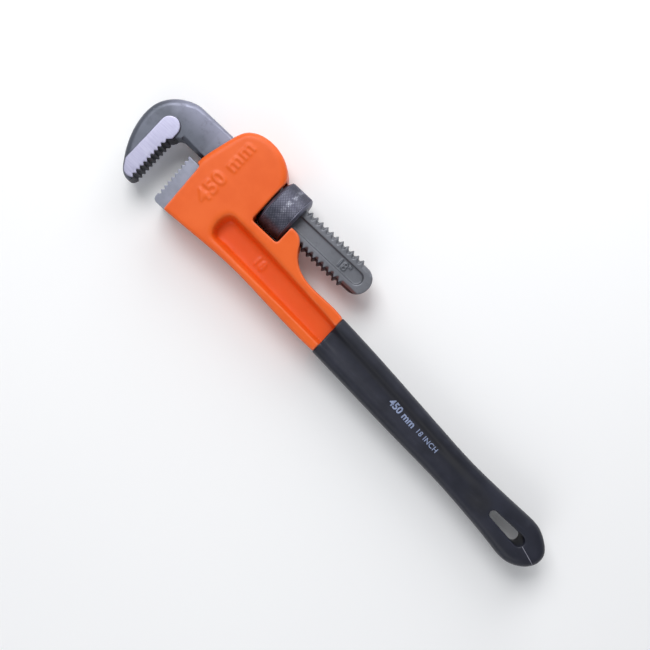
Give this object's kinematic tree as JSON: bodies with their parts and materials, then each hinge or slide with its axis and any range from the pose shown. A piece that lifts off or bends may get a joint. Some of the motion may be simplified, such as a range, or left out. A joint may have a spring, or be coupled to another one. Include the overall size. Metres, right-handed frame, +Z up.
{
  "type": "pipe wrench",
  "caption": "Straight pipe wrench with a toothed hook jaw, knurled adjusting nut, toothed heel jaw and a sleeved handle with a hang slot.",
  "frame": {"origin": "on the screw axis inside the adjusting nut, 9.4 mm behind the nut's front face", "axes": "+X along the screw towards the handle's end, +Y towards the hook's back, +Z up, out of the side the wrench lies on"},
  "size_m": [0.3978, 0.097, 0.0368],
  "materials": {
    "painted_casting": "orange powder coat, slightly textured",
    "sleeve_vinyl": "smooth satin vinyl",
    "forged_steel": "grey satin forging, ground pads beside the teeth",
    "nut_steel": "grey satin, diamond knurled",
    "jaw_steel": "satin grey tool steel",
    "spring_steel": "oiled spring steel"
  },
  "bodies": {
    "frame": {"wrench_body": "painted_casting", "heel_jaw": "jaw_steel", "heel_jaw_pin": "spring_steel", "grip_sleeve": "sleeve_vinyl", "coil_spring": "spring_steel"},
    "spring_carrier": {"flat_spring": "spring_steel", "spring_rivet": "spring_steel"},
    "movable_jaw": {"hook_jaw": "forged_steel"},
    "nut": {"adjusting_nut": "nut_steel"}
  },
  "joints": [
    {"name": "jaw_rock", "type": "hinge", "parent": "frame", "child": "spring_carrier", "pos_m": [0, 0, 0], "axis": [0, 0, 1], "range_deg": [-1.5, 1.5], "stiffness_Nm_per_rad": 20, "deforming": ["coil_spring"]},
    {"name": "jaw_slide", "type": "slide", "parent": "spring_carrier", "child": "movable_jaw", "axis": [1, 0, 0], "range_m": [-0.054, 0.0145]},
    {"name": "nut_spin", "type": "hinge", "parent": "spring_carrier", "child": "nut", "pos_m": [0, 0, 0], "axis": [1, 0, 0], "continuous": true}
  ],
  "couplings": [
    {"joint": "nut_spin", "follows": "jaw_slide", "rad_per_m": -1336.8}
  ]
}
